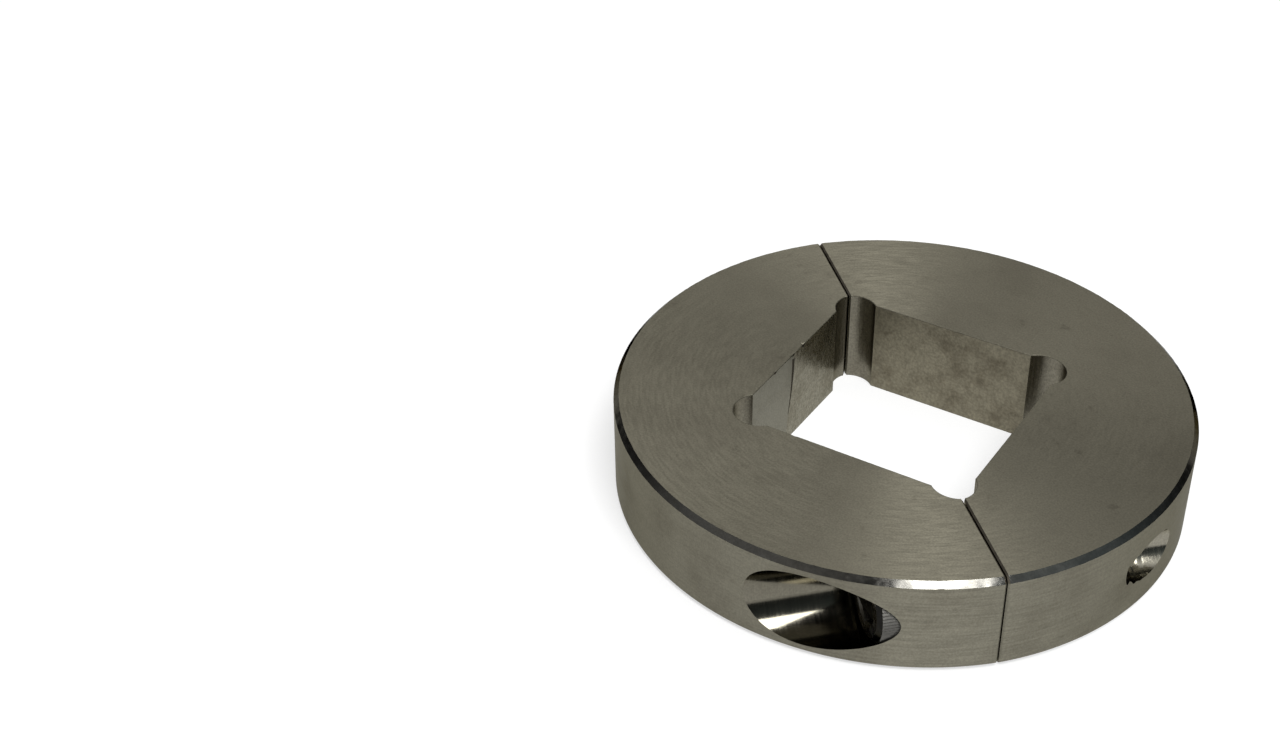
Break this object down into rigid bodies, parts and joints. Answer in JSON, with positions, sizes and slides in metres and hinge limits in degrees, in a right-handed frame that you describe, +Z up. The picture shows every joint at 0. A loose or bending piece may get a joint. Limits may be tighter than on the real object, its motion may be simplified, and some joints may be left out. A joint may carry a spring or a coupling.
{
  "type": "square bore shaft collar",
  "caption": "Split steel clamp collar with a square bore and relieved corners, drawn together round a square shaft by socket head cap screws sunk in its rim.",
  "frame": {"origin": "centre of the square bore on the collar's bottom face", "axes": "+Z up along the bore axis, X and Y along the sides of the square bore; the split runs from the +X-Y corner to the -X+Y corner"},
  "size_m": [0.0878, 0.088, 0.0159],
  "materials": {
    "collar_steel": "satin turned and sawn stainless steel with light stains and nicks",
    "screw_steel": "bright rolled stainless steel"
  },
  "bodies": {
    "left_half": {"left_half": "collar_steel"},
    "right_half": {"right_half": "collar_steel"},
    "front_clamp_screw": {"front_clamp_screw": "screw_steel"},
    "rear_clamp_screw": {"rear_clamp_screw": "screw_steel"}
  },
  "joints": [
    {"name": "halves_open", "type": "slide", "parent": "left_half", "child": "right_half", "axis": [0.7071, 0.7071, 0], "range_m": [0, 0.012]},
    {"name": "front_screw_turn", "type": "hinge", "parent": "left_half", "child": "front_clamp_screw", "pos_m": [0.02531, -0.02531, 0.00794], "axis": [-0.7071, -0.7071, 0], "range_deg": [0, 3062]},
    {"name": "rear_screw_turn", "type": "hinge", "parent": "right_half", "child": "rear_clamp_screw", "pos_m": [-0.02531, 0.02531, 0.00794], "axis": [0.7071, 0.7071, 0], "range_deg": [0, 3062]}
  ],
  "couplings": [
    {"joint": "front_screw_turn", "follows": "halves_open", "rad_per_m": 4452.7},
    {"joint": "rear_screw_turn", "follows": "halves_open", "rad_per_m": 4452.7}
  ]
}
